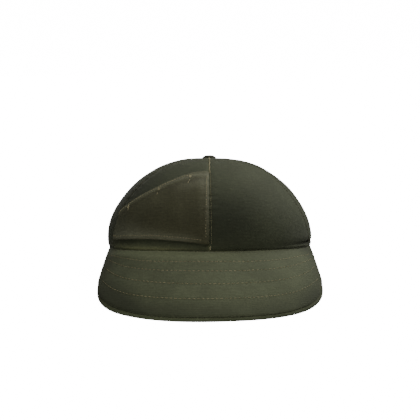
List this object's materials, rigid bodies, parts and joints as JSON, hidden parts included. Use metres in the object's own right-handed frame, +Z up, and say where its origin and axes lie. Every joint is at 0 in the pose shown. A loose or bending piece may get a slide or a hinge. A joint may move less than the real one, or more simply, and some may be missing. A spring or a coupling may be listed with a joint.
{
  "type": "canvas cap",
  "caption": "Soft low-crowned canvas cap with sewn panels, a covered top button, a patch across the wearer's right front panel and a wide curved peak.",
  "frame": {"origin": "on the surface that the cap rests on, under the middle of its outline box", "axes": "+Z up, -Y the way the wearer looks, +X the wearer's left"},
  "size_m": [0.1768, 0.2624, 0.0964],
  "materials": {
    "crown_canvas": "matt olive canvas with a fine twill",
    "peak_canvas": "matt grey-olive canvas, stitched in rows",
    "patch_canvas": "matt brownish canvas, thinner than the crown's",
    "button_canvas": "matt olive canvas over a button"
  },
  "bodies": {
    "root": {"front_panel_left": "crown_canvas", "front_panel_right": "crown_canvas", "side_panel_left": "crown_canvas", "side_panel_right": "crown_canvas", "back_panel_left": "crown_canvas", "back_panel_right": "crown_canvas", "front_patch": "patch_canvas", "peak_top": "peak_canvas", "peak_under": "peak_canvas", "top_button": "button_canvas"}
  },
  "joints": []
}
